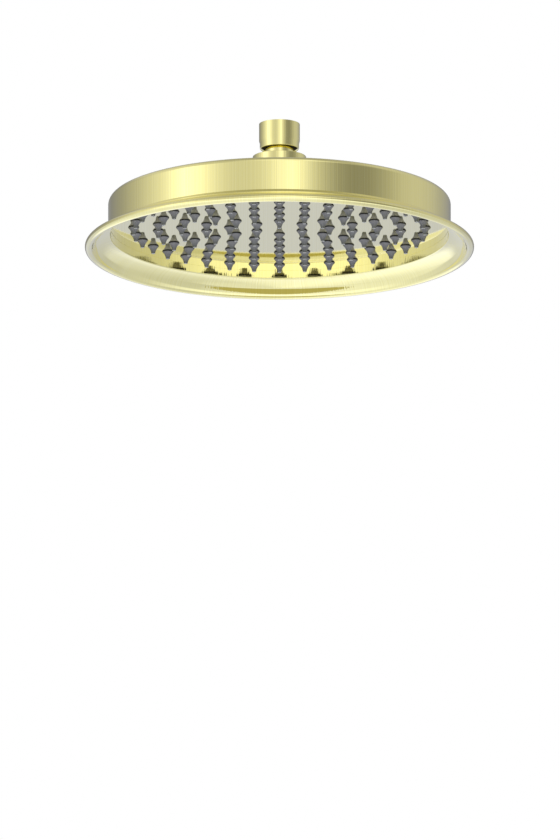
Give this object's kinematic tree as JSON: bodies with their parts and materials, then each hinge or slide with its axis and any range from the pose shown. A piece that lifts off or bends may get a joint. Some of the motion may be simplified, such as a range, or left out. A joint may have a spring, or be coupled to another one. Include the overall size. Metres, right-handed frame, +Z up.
{
  "type": "rain shower head",
  "caption": "Round rain shower head in brushed light-gold metal: flared rim, field of soft nozzles underneath, and a ball-joint swivel nut for a pipe on top.",
  "frame": {"origin": "centre of the inlet thread's mouth, at the top of the swivel nut", "axes": "+Z up along the pipe, away from the head; +Y and -Y each pass over one nozzle of every ring; +X completes the right-handed frame"},
  "size_m": [0.25, 0.25, 0.0838],
  "materials": {
    "brushed_gold": "brushed, light gold",
    "washer_rubber": "matt black",
    "seat_plastic": "moulded, off-white",
    "grey_silicone": "moulded silicone, dark grey"
  },
  "bodies": {
    "inlet": {"swivel_nut": "brushed_gold", "inlet_washer": "washer_rubber"},
    "swivel": {"ball_seat": "seat_plastic"},
    "head": {"ball_stem": "brushed_gold", "neck_boss": "brushed_gold", "body": "brushed_gold", "face_seal": "washer_rubber", "face_plate": "brushed_gold", "nozzle_mat": "grey_silicone"}
  },
  "joints": [
    {"name": "swivel_spin", "type": "hinge", "parent": "inlet", "child": "swivel", "pos_m": [0, 0, -0.01172], "axis": [0, 0, 1], "continuous": true},
    {"name": "swivel_tilt", "type": "hinge", "parent": "swivel", "child": "head", "pos_m": [0, 0, -0.01172], "axis": [1, 0, 0], "range_deg": [-12, 12]}
  ]
}
